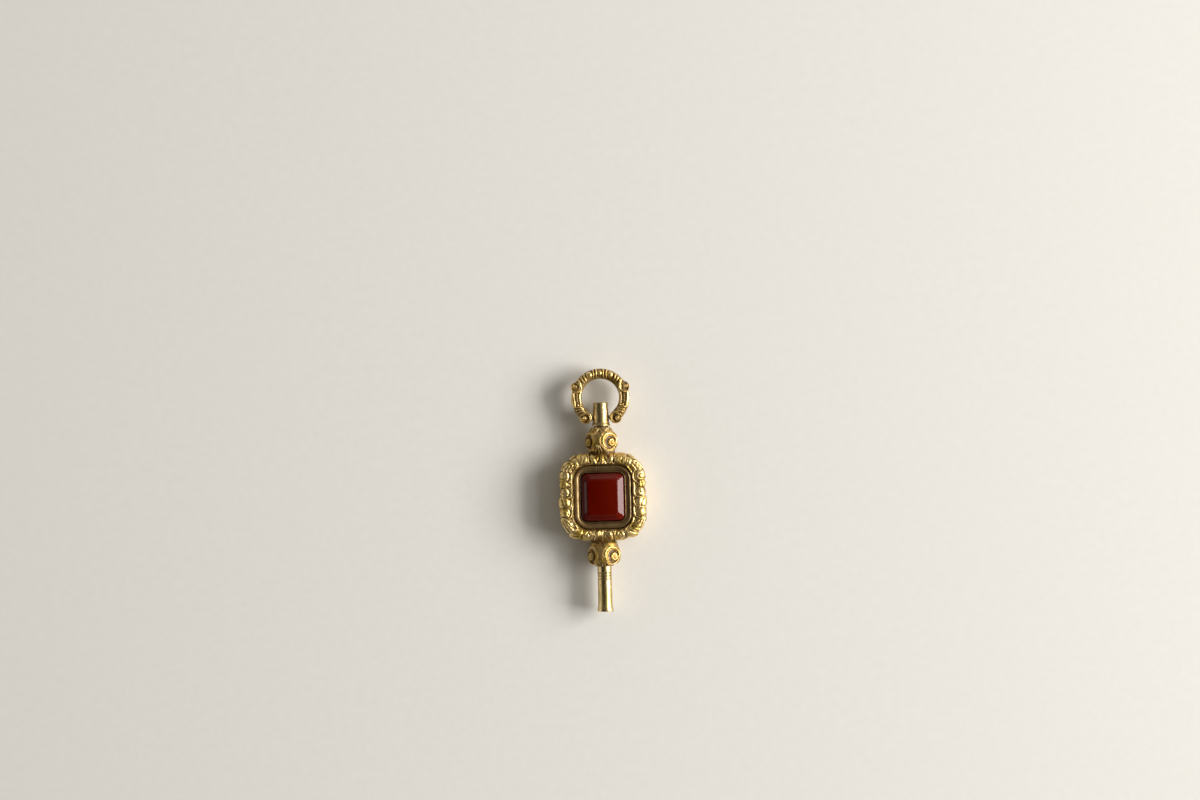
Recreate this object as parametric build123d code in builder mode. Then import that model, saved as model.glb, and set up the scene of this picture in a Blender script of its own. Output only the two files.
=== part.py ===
"""A double-sided fob watch key: a square-socket pipe, a hollow stamped frame that carries a
stone on each side, two scrolled knops, and a swivelling pendant with a swinging bow.

Row frame, in millimetres: the origin is the middle of the socket's mouth, +Y runs along the
shank from the pipe to the bow, +Z points out of the front stone, and +X is to the right.
"""

from build123d import *
from math import cos, pi, radians, sin
import os

os.makedirs("parts", exist_ok=True)

# Sheet and running sizes that several pieces share
sheet_wall = 0.34
solder_gap = 0.02
running_gap = 0.03
swivel_play = 0.02
cut_overrun = 1.0

# Pipe: a steel tube with the winding square inside a thin gilt jacket
pipe_length = 7.9
pipe_radius = 1.25
jacket_wall = 0.15
mouth_radius = 1.43
mouth_land = 0.4
mouth_flare_length = 1.5
mouth_recess = 0.06
groove_top_gap = 1.15
groove_pitch = 0.52
groove_radius = 0.08
groove_count = 3
socket_width = 1.3
socket_depth = 5.2
socket_lead_in = 0.12
shank_radius = 0.6

# Lower knop
lower_knop_height = 4.55
lower_knop_foot_radius = 1.48
lower_knop_waist_radius = 2.62
lower_knop_neck_radius = 2.25
lower_knop_waist_share = 0.45

# Frame: a hollow band with a rounded-square outline round an upright opening
frame_width = 15.2
frame_height = 15.2
frame_corner_radius = 4.3
frame_crest = 2.32
side_band_width = 2.55
end_band_width = 2.02
opening_corner_radius = 2.6
outer_round_share = 0.55
inner_round_share = 0.34
ornament_rise = 0.3
scroll_groove_depth = 0.24
scroll_groove_share = 0.42
scroll_reach_share = 0.9

# Upper knop
upper_knop_height = 4.55
upper_knop_top_radius = 1.72
upper_knop_waist_radius = 2.55
upper_knop_foot_radius = 2.25
upper_knop_waist_share = 0.5
saddle_tuck = 0.75

# Volutes on the two knops, four on each, turned together about the shank
knop_turn = -12.0
upper_volute_radius = 1.45
lower_volute_radius = 1.66
volute_standoff = 2.56
volute_round = 0.22
volute_groove_depth = 0.3
volute_turns = 3
upper_volute_height_share = 0.47
lower_volute_height_share = 0.43

# Settings: on each side a bezel, a stone with a flat table, and its bed of cement
setting_gap = 0.05
divider_thickness = 0.24
bezel_top = 2.25
bezel_lip = 0.15
bezel_rim_round = 0.16
bezel_slope_width = 0.42
bezel_slope_height = 0.12
setting_side_width = 1.25
setting_end_width = 1.38
stone_corner_radius = 1.1
stone_draft = 0.15
stone_bevel_width = 1.1
stone_bevel_height = 0.64
stone_table_level = 3.0
bed_thickness = 0.38
lip_gap = 0.06

# Swivel: the spindle stands on the frame, and the pendant turns on it
spindle_radius = 0.5
spindle_head_radius = 0.76
spindle_head_height = 0.4
washer_radius = 1.25
washer_thickness = 0.2

# Pendant: a tube with a flared foot, closed by a plug cap
pendant_tube_height = 2.95
pendant_cap_height = 1.18
pendant_radius = 1.38
pendant_cap_radius = 1.3
pendant_foot_radius = 1.6
pendant_foot_height = 0.28
pendant_flare_height = 0.3
pendant_bore_radius = 0.92
pendant_floor = 0.45
cap_spigot_length = 0.5
cap_round = 0.1

# Bow: a hollow ring whose scrolled ends swing on two pins in the pendant
bow_radius = 4.25
bow_bar_radius = 0.96
bow_bore_radius = 0.66
bow_centre_rise = 3.5
bow_pivot_rise = 1.5
bow_end_reach = 2.48
bow_end_radius = 1.16
bow_end_flat = 1.48
bow_end_round = 0.4
bow_gap_angle = 42.0
bow_bore_gap_angle = 62.0
bow_rise = 0.1
bow_pin_radius = 0.4
bow_pin_length = 1.35
bow_pin_inset = 0.42

# The frame's opening and the stones follow from the frame and the widths round them
opening_width = frame_width - 2 * side_band_width
opening_height = frame_height - 2 * end_band_width
stone_width = opening_width - 2 * setting_side_width
stone_height = opening_height - 2 * setting_end_width

# Stations along the shank, from the mouth of the pipe
lower_knop_top_y = pipe_length + lower_knop_height
frame_centre_y = lower_knop_top_y + frame_height / 2
frame_top_y = frame_centre_y + frame_height / 2
upper_knop_top_y = frame_top_y + upper_knop_height
pendant_foot_y = upper_knop_top_y + washer_thickness + swivel_play
pendant_tube_top_y = pendant_foot_y + pendant_tube_height
bow_pivot_y = pendant_foot_y + bow_pivot_rise
bow_centre_y = bow_pivot_y + bow_centre_rise
stone_base_level = divider_thickness / 2 + bed_thickness

# Sketch planes: across the shank looking to the bow, and the lengthwise half-section
shank_half = Plane(origin=(0, 0, 0), x_dir=(1, 0, 0), z_dir=(0, 0, 1))
frame_plane = Plane(origin=(0, frame_centre_y, 0), x_dir=(1, 0, 0), z_dir=(0, 0, 1))


def across(y):
    """The plane square to the shank at height y, facing the bow."""
    return Plane(origin=(0, y, 0), x_dir=(1, 0, 0), z_dir=(0, 1, 0))


def rod(radius, low, high):
    """A plain round rod on the shank's axis."""
    with BuildPart() as bar:
        with BuildSketch(across(low)):
            Circle(radius)
        extrude(amount=high - low)
    return bar.part


def turned(points):
    """A turned solid from its half outline: pairs of radius and height, and arcs by three pairs."""
    with BuildPart() as blank:
        with BuildSketch(shank_half):
            with BuildLine():
                here = points[0]
                for step in points[1:]:
                    if len(step) == 2:
                        Line(here, step)
                        here = step
                    else:
                        ThreePointArc(here, step[0:2], step[2:4])
                        here = step[2:4]
                Line(here, points[0])
            make_face()
        revolve(axis=Axis.Y)
    return blank.part


def export(piece, name):
    """Labels a finished piece and writes it under its node's name."""
    piece.label = name
    export_step(piece, f"parts/{name}.step")


def halves(piece):
    """The front and the back half of a piece that is stamped in two."""
    return [split(piece, bisect_by=Plane.XY, keep=side) for side in (Keep.TOP, Keep.BOTTOM)]


def spiral(place, radius, half_turns, hand):
    """The flat face of a spiral groove, built from half circles that shrink inwards."""
    pitch = 2 * radius / (half_turns + 1)
    width = scroll_groove_share * pitch
    centre, reach, side = 0.0, radius, hand
    outer, inner = [], []
    for _ in range(half_turns):
        start, end = centre + side * reach, centre - side * reach
        outer.append(((start, 0), (centre, reach * side), (end, 0)))
        short = reach - width
        inner.append(((centre + side * short, 0), (centre, short * side), (centre - side * short, 0)))
        centre = end + side * (reach - pitch / 2)
        reach -= pitch / 2
        side = -side
    with BuildSketch(place) as groove:
        with BuildLine():
            for start, middle, end in outer:
                ThreePointArc(start, middle, end)
            Line(outer[-1][2], inner[-1][2])
            for start, middle, end in reversed(inner):
                ThreePointArc(end, middle, start)
            Line(inner[0][0], outer[0][0])
        make_face()
    return groove.sketch


def scroll_cutter(place, radius, depth, half_turns, hand):
    """A spiral groove as a solid to cut away, sunk by depth below the plane it is drawn on."""
    groove = spiral(place.offset(-depth), radius, half_turns, hand)
    with BuildPart() as cutter:
        extrude(groove, amount=depth + ornament_rise, dir=place.z_dir)
    return cutter.part


def knop_outline(foot, foot_y, waist, waist_y, head, head_y, grow):
    """A knop's half outline: bottom radius, widest radius and top radius, moved out by grow."""
    low, high = foot_y - grow, head_y + grow
    lower_bulge = (foot + 2 * waist) / 3 + grow
    upper_bulge = (head + 2 * waist) / 3 + grow
    return [
        (0, low),
        (foot + grow, low),
        (lower_bulge, (low + waist_y) / 2, waist + grow, waist_y),
        (upper_bulge, (high + waist_y) / 2, head + grow, high),
        (0, high),
    ]


lower_waist_y = pipe_length + lower_knop_waist_share * lower_knop_height
lower_sizes = (
    lower_knop_foot_radius,
    pipe_length,
    lower_knop_waist_radius,
    lower_waist_y,
    lower_knop_neck_radius,
    lower_knop_top_y + saddle_tuck,
)
upper_waist_y = frame_top_y + upper_knop_waist_share * upper_knop_height
upper_sizes = (
    upper_knop_foot_radius,
    frame_top_y - saddle_tuck,
    upper_knop_waist_radius,
    upper_waist_y,
    upper_knop_top_radius,
    upper_knop_top_y,
)

# Frame

path_half_width = (frame_width + opening_width) / 4
path_half_height = (frame_height + opening_height) / 4
path_corner_radius = (frame_corner_radius + opening_corner_radius) / 2

# Ornaments on the right half of the band, from the top round to the bottom. Shares of half the
# band's path, then shares of its width: place along, shift outwards, length, width, and turn.
# The last number is how many half turns a scroll has, and none for a plain leaf or bead.
motif_shares = [
    (0.000, -0.08, 0.72, 0.36, 90, 0),
    (0.062, -0.06, 0.80, 0.44, 62, 0),
    (0.152, 0.02, 1.26, 1.26, 0, 3),
    (0.250, 0.12, 1.42, 0.62, 8, 0),
    (0.338, 0.18, 1.02, 1.02, 0, 3),
    (0.398, 0.22, 0.66, 0.60, 10, 0),
    (0.458, 0.16, 0.92, 0.80, 25, 0),
    (0.535, 0.24, 0.96, 0.84, -20, 0),
    (0.615, 0.20, 0.98, 0.98, 0, 3),
    (0.702, 0.14, 1.46, 0.60, -12, 0),
    (0.790, 0.10, 0.92, 0.74, 20, 0),
    (0.872, 0.02, 1.20, 1.20, 0, 3),
    (0.950, 0.00, 0.84, 0.46, -60, 0),
]
lobe_round_share = 0.38
disc_round_share = 0.2


def band_blank(grow):
    """The frame's plain band above its mid-plane, with every face moved out by grow."""
    width = end_band_width + 2 * grow
    corner_out = frame_corner_radius + grow
    corner_in = opening_corner_radius - grow
    with BuildPart() as band:
        with BuildSketch(frame_plane):
            RectangleRounded(frame_width + 2 * grow, frame_height + 2 * grow, corner_out)
            RectangleRounded(
                opening_width - 2 * grow, opening_height - 2 * grow, corner_in, mode=Mode.SUBTRACT
            )
        extrude(amount=frame_crest + grow)
        rim = band.faces().sort_by(Axis.Z)[-1]
        fillet(rim.outer_wire().edges(), outer_round_share * width)
        rim = band.faces().sort_by(Axis.Z)[-1]
        fillet(rim.inner_wires()[0].edges(), inner_round_share * width)
    return band.part


def motif_places():
    """Each ornament's place on the right half: a plane on the crest, its sizes and its turns."""
    with BuildLine(frame_plane) as path:
        FilletPolyline(
            (0, path_half_height),
            (path_half_width, path_half_height),
            (path_half_width, -path_half_height),
            (0, -path_half_height),
            radius=path_corner_radius,
        )
    wire = path.wire()
    places = []
    for along, shift, length, width, turn, half_turns in motif_shares:
        forward = wire.tangent_at(along)
        outward = Vector(-forward.Y, forward.X, 0)
        middle = wire.position_at(along) + outward * (shift * end_band_width)
        seat = Plane(origin=middle, x_dir=forward, z_dir=(0, 0, 1)).rotated((0, 0, turn))
        places.append((seat, length * end_band_width, width * end_band_width, half_turns))
    return places


def lobe(seat, length, width, height, round_share):
    """One raised lobe of the stamping, from the mid-plane up, with a well rounded top."""
    with BuildPart() as raised:
        with BuildSketch(seat):
            if length > width:
                SlotOverall(length, width)
            else:
                Circle(width / 2)
        extrude(amount=height)
        top = raised.faces().sort_by(Axis.Z)[-1]
        fillet(top.edges(), round_share * width)
    return raised.part


def frame_half():
    """The front stamping: the hollow band with its lobes and scrolls."""
    places = motif_places()
    plain = band_blank(0)
    top = frame_crest + ornament_rise
    lobes, grooves = [], []
    for seat, length, width, half_turns in places:
        lobes.append(lobe(seat, length, width, top, disc_round_share if half_turns else lobe_round_share))
        if half_turns:
            reach = scroll_reach_share * (1 / 2 - disc_round_share) * width
            grooves.append(scroll_cutter(seat.offset(top), reach, scroll_groove_depth, half_turns, 1))
    hollow = band_blank(-sheet_wall)
    with BuildPart() as opening:
        with BuildSketch(frame_plane):
            RectangleRounded(opening_width, opening_height, opening_corner_radius)
        extrude(amount=frame_crest + cut_overrun)
    with BuildPart() as blank:
        for raised in lobes:
            add(raised)
        for raised in lobes[1:]:
            mirror(raised, about=Plane.YZ)
        add(turned(knop_outline(*lower_sizes, solder_gap)), mode=Mode.SUBTRACT)
        add(turned(knop_outline(*upper_sizes, solder_gap)), mode=Mode.SUBTRACT)
        add(plain)
        for groove in grooves:
            add(groove, mode=Mode.SUBTRACT)
            mirror(groove, about=Plane.YZ, mode=Mode.SUBTRACT)
        add(opening.part, mode=Mode.SUBTRACT)
        add(hollow, mode=Mode.SUBTRACT)
        add(rod(shank_radius, lower_knop_top_y - cut_overrun, frame_centre_y), mode=Mode.SUBTRACT)
        add(rod(spindle_radius, frame_centre_y, frame_top_y + cut_overrun), mode=Mode.SUBTRACT)
    return blank.part


frame_front = frame_half()
export(frame_front, "frame_front")
frame_back = mirror(frame_front, about=Plane.XY)
export(frame_back, "frame_back")

# The frame's plain outside on both faces, which the knops are cut to sit on
saddle = band_blank(solder_gap)
saddle_back = mirror(saddle, about=Plane.XY)


# Knops


def volutes(middle_y, radius, hand):
    """Four rounded discs round a knop, and the spiral grooves that are cut in them."""
    discs, grooves = [], []
    for quarter in range(4):
        angle = radians(45 + 90 * quarter + knop_turn)
        facing = Vector(sin(angle), 0, cos(angle))
        face = Plane(
            origin=Vector(0, middle_y, 0) + facing * volute_standoff, x_dir=(0, 1, 0), z_dir=facing
        )
        with BuildPart() as disc:
            with BuildSketch(face):
                Circle(radius)
            extrude(amount=-volute_standoff / 2)
            fillet(disc.edges().sort_by(Axis(face.origin, facing))[-1], volute_round)
        discs.append(disc.part)
        turn_hand = hand if quarter % 2 else -hand
        reach = scroll_reach_share * (radius - volute_round)
        grooves.append(scroll_cutter(face, reach, volute_groove_depth, volute_turns, turn_hand))
    return discs, grooves


def knop(outside, inside, volute_y, radius, hand, bore):
    """A hollow knop in two stamped halves, saddled to the frame and bored for its rod."""
    discs, grooves = volutes(volute_y, radius, hand)
    with BuildPart() as bead:
        add(outside)
        for disc in discs:
            add(disc)
        for groove in grooves:
            add(groove, mode=Mode.SUBTRACT)
        add(inside, mode=Mode.SUBTRACT)
        add(saddle, mode=Mode.SUBTRACT)
        add(saddle_back, mode=Mode.SUBTRACT)
        add(bore, mode=Mode.SUBTRACT)
    return halves(bead.part)


lower_knop_front, lower_knop_back = knop(
    turned(knop_outline(*lower_sizes, 0)),
    turned(knop_outline(*lower_sizes, -sheet_wall)),
    pipe_length + lower_volute_height_share * lower_knop_height,
    lower_volute_radius,
    1,
    rod(shank_radius, pipe_length - cut_overrun, frame_centre_y),
)
export(lower_knop_front, "lower_knop_front")
export(lower_knop_back, "lower_knop_back")

upper_knop_front, upper_knop_back = knop(
    turned(knop_outline(*upper_sizes, 0)),
    turned(knop_outline(*upper_sizes, -sheet_wall)),
    frame_top_y + upper_volute_height_share * upper_knop_height,
    upper_volute_radius,
    -1,
    rod(spindle_radius, frame_centre_y, upper_knop_top_y + cut_overrun),
)
export(upper_knop_front, "upper_knop_front")
export(upper_knop_back, "upper_knop_back")

# Pipe

with BuildPart() as pipe_core:
    add(rod(pipe_radius - jacket_wall, mouth_recess, pipe_length))
    add(rod(shank_radius, pipe_length, frame_centre_y - opening_height / 2 - setting_gap))
    with BuildSketch(across(mouth_recess)):
        Rectangle(socket_width, socket_width)
    extrude(amount=socket_depth, mode=Mode.SUBTRACT)
    mouth = pipe_core.faces().sort_by(Axis.Y)[0]
    chamfer(mouth.inner_wires()[0].edges(), socket_lead_in)
export(pipe_core.part, "pipe_core")

jacket_bore = pipe_radius - jacket_wall
with BuildPart() as pipe_sleeve:
    add(
        turned(
            [
                (jacket_bore, 0),
                (mouth_radius, 0),
                (mouth_radius, mouth_land),
                (
                    (pipe_radius + (mouth_radius - pipe_radius) / 4),
                    mouth_land + mouth_flare_length / 3,
                    pipe_radius,
                    mouth_land + mouth_flare_length,
                ),
                (pipe_radius, pipe_length - solder_gap),
                (jacket_bore, pipe_length - solder_gap),
            ]
        )
    )
    for ring in range(groove_count):
        groove_y = pipe_length - groove_top_gap - ring * groove_pitch
        with BuildSketch(shank_half):
            with Locations((pipe_radius, groove_y)):
                Circle(groove_radius)
        revolve(axis=Axis.Y, mode=Mode.SUBTRACT)
export(pipe_sleeve.part, "pipe_sleeve")

# Settings


def upright(width, height, corner, low, high):
    """A rounded rectangle of the frame's opening, extruded between two levels."""
    with BuildPart() as block:
        with BuildSketch(frame_plane.offset(low)):
            RectangleRounded(width, height, corner)
        extrude(amount=high - low)
    return block.part


bezel_width = opening_width - 2 * setting_gap
bezel_height = opening_height - 2 * setting_gap
bezel_corner = opening_corner_radius - setting_gap
girdle_width = stone_width + 2 * stone_draft
girdle_height = stone_height + 2 * stone_draft
girdle_corner = stone_corner_radius + stone_draft
pocket_grow = setting_gap
plate_level = divider_thickness / 2

divider_plate = upright(bezel_width, bezel_height, bezel_corner, -plate_level, plate_level)
export(divider_plate, "divider_plate")

pocket = upright(
    girdle_width + 2 * pocket_grow,
    girdle_height + 2 * pocket_grow,
    girdle_corner + pocket_grow,
    plate_level,
    bezel_top - bezel_lip,
)
lip_opening = upright(
    stone_width + 2 * lip_gap,
    stone_height + 2 * lip_gap,
    stone_corner_radius + lip_gap,
    plate_level,
    bezel_top,
)
with BuildPart() as bezel_front:
    add(upright(bezel_width, bezel_height, bezel_corner, plate_level, bezel_top))
    add(lip_opening, mode=Mode.SUBTRACT)
    bezel_rim = bezel_front.faces().sort_by(Axis.Z)[-1]
    fillet(bezel_rim.outer_wire().edges(), bezel_rim_round)
    bezel_rim = bezel_front.faces().sort_by(Axis.Z)[-1]
    chamfer(
        bezel_rim.inner_wires()[0].edges(), bezel_slope_height, bezel_slope_width, reference=bezel_rim
    )
    add(pocket, mode=Mode.SUBTRACT)
export(bezel_front.part, "bezel_front")
export(mirror(bezel_front.part, about=Plane.XY), "bezel_back")

stone_shoulder_level = stone_table_level - stone_bevel_height
with BuildPart() as stone_front:
    with BuildSketch(frame_plane.offset(stone_base_level)):
        RectangleRounded(girdle_width, girdle_height, girdle_corner)
    with BuildSketch(frame_plane.offset(stone_shoulder_level)):
        RectangleRounded(stone_width, stone_height, stone_corner_radius)
    loft(ruled=True)
    with BuildSketch(frame_plane.offset(stone_shoulder_level)):
        RectangleRounded(stone_width, stone_height, stone_corner_radius)
    with BuildSketch(frame_plane.offset(stone_table_level)):
        RectangleRounded(
            stone_width - 2 * stone_bevel_width,
            stone_height - 2 * stone_bevel_width,
            stone_corner_radius / 2,
        )
    loft(ruled=True)
export(stone_front.part, "stone_front")
export(mirror(stone_front.part, about=Plane.XY), "stone_back")

stone_bed = upright(girdle_width, girdle_height, girdle_corner, plate_level, stone_base_level)
export(stone_bed, "stone_bed_front")
export(mirror(stone_bed, about=Plane.XY), "stone_bed_back")

# Swivel

spindle_foot_y = frame_centre_y + opening_height / 2 + setting_gap
spindle_seat_y = pendant_foot_y + pendant_floor + swivel_play
with BuildPart() as swivel_spindle:
    add(rod(spindle_radius, spindle_foot_y, spindle_seat_y))
    add(rod(spindle_head_radius, spindle_seat_y, spindle_seat_y + spindle_head_height))
export(swivel_spindle.part, "swivel_spindle")

with BuildPart() as swivel_washer:
    add(rod(washer_radius, upper_knop_top_y, upper_knop_top_y + washer_thickness))
    add(rod(spindle_radius, upper_knop_top_y, pendant_foot_y), mode=Mode.SUBTRACT)
export(swivel_washer.part, "swivel_washer")

# Pendant

foot_top_y = pendant_foot_y + pendant_foot_height
flare_top_y = foot_top_y + pendant_flare_height
flare_bulge = (pendant_foot_radius - pendant_radius) / 4
pendant_outline = turned(
    [
        (0, pendant_foot_y),
        (pendant_foot_radius, pendant_foot_y),
        (pendant_foot_radius, foot_top_y),
        (pendant_radius + flare_bulge, (foot_top_y + flare_top_y) / 2, pendant_radius, flare_top_y),
        (pendant_radius, pendant_tube_top_y),
        (0, pendant_tube_top_y),
    ]
)
with BuildPart() as pin_holes:
    with BuildSketch(Plane.YZ):
        with Locations((bow_pivot_y, 0)):
            Circle(bow_pin_radius + running_gap)
    extrude(amount=pendant_foot_radius + cut_overrun, both=True)

with BuildPart() as pendant_tube:
    add(pendant_outline)
    add(
        rod(pendant_bore_radius, pendant_foot_y + pendant_floor, pendant_tube_top_y + cut_overrun),
        mode=Mode.SUBTRACT,
    )
    add(
        rod(spindle_radius + running_gap, pendant_foot_y - cut_overrun, pendant_tube_top_y),
        mode=Mode.SUBTRACT,
    )
    add(pin_holes.part, mode=Mode.SUBTRACT)
export(pendant_tube.part, "pendant_tube")

pendant_top_y = pendant_tube_top_y + pendant_cap_height
with BuildPart() as pendant_cap:
    add(rod(pendant_cap_radius, pendant_tube_top_y, pendant_top_y))
    add(rod(pendant_bore_radius, pendant_tube_top_y - cap_spigot_length, pendant_tube_top_y))
    fillet(pendant_cap.faces().sort_by(Axis.Y)[-1].edges(), cap_round)
export(pendant_cap.part, "pendant_cap")

# Bow

bow_axis = Axis((0, bow_centre_y, 0), (0, 0, 1))

# Ornaments on the right half of the bow: angle up from the bottom of the ring, shift outwards
# and radius as shares of the bar's radius, and half turns of the scroll, if it is one
bow_angles = [70, 88, 116, 154, 180]
bow_motif_shares = [
    (0.06, 0.86, 0),
    (0.12, 0.92, 0),
    (0.20, 1.08, 3),
    (0.10, 0.98, 3),
    (0.06, 0.86, 0),
]


def bow_arc(radius, gap_angle):
    """A round bar bent to the bow's circle, open by gap_angle each side of the bottom."""
    start = radians(gap_angle)
    end_plane = Plane(
        origin=(0, bow_centre_y, 0), x_dir=(sin(start), -cos(start), 0), z_dir=(cos(start), sin(start), 0)
    )
    with BuildPart() as arc:
        with BuildSketch(end_plane):
            with Locations((bow_radius, 0)):
                Circle(radius)
        revolve(axis=bow_axis, revolution_arc=360 - 2 * gap_angle)
    return arc.part


def bow_disc(seat, radius, half_thickness):
    """A thick disc across the bow, the same on both faces, with rounded rims."""
    with BuildPart() as disc:
        with BuildSketch(seat):
            Circle(radius)
        extrude(amount=half_thickness, both=True)
        fillet(disc.edges().filter_by(GeomType.CIRCLE), bow_end_round)
    return disc.part


def bow_seats():
    """The right half's scrolls and beads: plane, radius and half turns, the end scroll first."""
    end = Plane(origin=(bow_end_reach, bow_pivot_y, 0), x_dir=(0, 1, 0), z_dir=(0, 0, 1))
    seats = [(end, bow_end_radius, 3)]
    for angle, (shift, size, half_turns) in zip(bow_angles, bow_motif_shares):
        turn = radians(angle)
        reach = bow_radius + shift * bow_bar_radius
        middle = (reach * sin(turn), bow_centre_y - reach * cos(turn), 0)
        seat = Plane(origin=middle, x_dir=(cos(turn), sin(turn), 0), z_dir=(0, 0, 1))
        seats.append((seat, size * bow_bar_radius, half_turns))
    return seats


bow_half_thickness = bow_bar_radius + bow_rise
bow_discs, bow_grooves = [], []
for seat, radius, half_turns in bow_seats():
    bow_discs.append(bow_disc(seat, radius, bow_half_thickness))
    if half_turns:
        bow_grooves.append(
            scroll_cutter(
                seat.offset(bow_half_thickness),
                scroll_reach_share * (radius - bow_end_round),
                scroll_groove_depth,
                half_turns,
                1,
            )
        )

bow_bar = bow_arc(bow_bar_radius, bow_gap_angle)
bow_bore = bow_arc(bow_bore_radius, bow_bore_gap_angle)
with BuildPart() as bow_window:
    with BuildSketch(Plane.XY):
        with Locations((0, bow_pivot_y)):
            Rectangle(2 * bow_end_flat, 2 * (bow_end_radius + bow_bar_radius))
    extrude(amount=bow_half_thickness + cut_overrun, both=True)
with BuildPart() as bow_pin_right:
    with BuildSketch(Plane.YZ.offset(bow_end_flat - bow_pin_inset)):
        with Locations((bow_pivot_y, 0)):
            Circle(bow_pin_radius)
    extrude(amount=bow_pin_length)
bow_pin_left = mirror(bow_pin_right.part, about=Plane.YZ)

with BuildPart() as bow_ring:
    add(bow_bar)
    for disc in bow_discs:
        add(disc)
    for disc in bow_discs[:-1]:
        mirror(disc, about=Plane.YZ)
    for groove in bow_grooves:
        add(groove, mode=Mode.SUBTRACT)
        mirror(groove, about=Plane.YZ, mode=Mode.SUBTRACT)
    add(bow_window.part, mode=Mode.SUBTRACT)
    split(bisect_by=Plane.XY, keep=Keep.TOP)
    mirror(about=Plane.XY)
    add(bow_bore, mode=Mode.SUBTRACT)
    add(bow_pin_right.part, mode=Mode.SUBTRACT)
    add(bow_pin_left, mode=Mode.SUBTRACT)
bow_front, bow_back = halves(bow_ring.part)
export(bow_front, "bow_front")
export(bow_back, "bow_back")
export(bow_pin_right.part, "bow_pin_right")
export(bow_pin_left, "bow_pin_left")
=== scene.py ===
"""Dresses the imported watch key: stamped and chased gilt scrollwork, a polished stone in its
setting, turned pipe and pendant, under a window light on a pale floor."""

import bpy
import copy
import math
import numpy as np
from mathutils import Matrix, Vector


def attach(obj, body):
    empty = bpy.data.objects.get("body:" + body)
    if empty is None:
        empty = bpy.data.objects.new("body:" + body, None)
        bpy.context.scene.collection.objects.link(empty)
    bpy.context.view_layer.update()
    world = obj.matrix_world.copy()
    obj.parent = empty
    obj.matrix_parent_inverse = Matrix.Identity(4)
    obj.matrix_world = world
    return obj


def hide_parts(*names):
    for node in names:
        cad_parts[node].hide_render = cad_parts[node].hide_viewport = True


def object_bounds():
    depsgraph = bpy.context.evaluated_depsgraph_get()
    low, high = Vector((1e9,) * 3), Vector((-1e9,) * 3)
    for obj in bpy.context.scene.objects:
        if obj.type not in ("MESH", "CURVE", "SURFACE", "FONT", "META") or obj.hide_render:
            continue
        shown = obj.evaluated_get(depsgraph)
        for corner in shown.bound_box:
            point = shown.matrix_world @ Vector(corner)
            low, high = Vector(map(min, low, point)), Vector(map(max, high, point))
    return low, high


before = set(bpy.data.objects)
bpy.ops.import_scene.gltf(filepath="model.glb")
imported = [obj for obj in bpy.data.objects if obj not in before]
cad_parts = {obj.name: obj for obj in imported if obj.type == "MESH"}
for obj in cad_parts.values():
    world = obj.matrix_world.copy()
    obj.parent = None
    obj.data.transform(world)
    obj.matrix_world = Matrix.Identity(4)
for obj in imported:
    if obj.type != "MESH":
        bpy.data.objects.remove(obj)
cad_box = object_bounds()

MM = 0.001
CAD_LOW = np.array(cad_box[0]) / MM
CAD_HIGH = np.array(cad_box[1]) / MM

# Places and sizes in millimetres, in the row frame. A rounded rectangle is half width, half height
# and corner radius, from the frame's middle.
FRAME_Y = 20.05
FRAME_PATH = (6.325, 6.59, 3.45)
FRAME_INNER = (5.05, 5.58, 2.6)
FRAME_OUTER = (7.48, 7.48, 4.18)
FRAME_WIDTH = 2.2
FORM_WIDTH = 2.02
BEZEL_PATH = (4.43, 4.895, 1.855)
BEZEL_INNER = (3.87, 4.27, 1.17)
BEZEL_OUTER = (4.99, 5.52, 2.54)
BEZEL_WIDTH = 1.14
BEZEL_SEAM_X = -0.82
KNOP_TURN = -12.0
KNOP_ARC_RADIUS = 2.35
KNOP_SCROLL_OUT = 2.58
KNOP_SCROLL_DROP = 0.95
PIPE_GROOVES = (5.71, 6.23, 6.75)
BOW_Y = 37.42
BOW_BAR_RADIUS = 4.17
BOW_BAR_ENDS = (44, 316)
# x and y from the bow's middle, radius, and turn in degrees of its scrolls on the right
BOW_SCROLLS = ((2.63, -3.46, 1.12, 0), (4.18, 1.79, 0.98, 60))


# Numbers and fields


def smoothstep(low, high, value):
    """From 0 at low to 1 at high, level at both ends."""
    t = np.clip((value - low) / (high - low), 0.0, 1.0)
    return t * t * (3.0 - 2.0 * t)


def value_noise(points, cell, seed):
    """Smooth noise from -1 to 1 on points in millimetres, one bump to a cell."""
    q = points / cell + seed * 17.31
    base = np.floor(q).astype(np.int64)
    f = q - base
    f = f * f * (3.0 - 2.0 * f)
    total = np.zeros(len(points))
    for corner in range(8):
        o = np.array([corner & 1, corner >> 1 & 1, corner >> 2 & 1])
        i = base + o
        h = (i[:, 0] * 73856093) ^ (i[:, 1] * 19349663) ^ (i[:, 2] * 83492791) ^ (seed * 2654435)
        h = (h ^ (h >> 13)) * 1274126177
        h = ((h ^ (h >> 16)) & 0xFFFF) / 65535.0
        w = np.prod(np.where(o == 1, f, 1.0 - f), axis=1)
        total += w * h
    return total * 2.0 - 1.0


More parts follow.
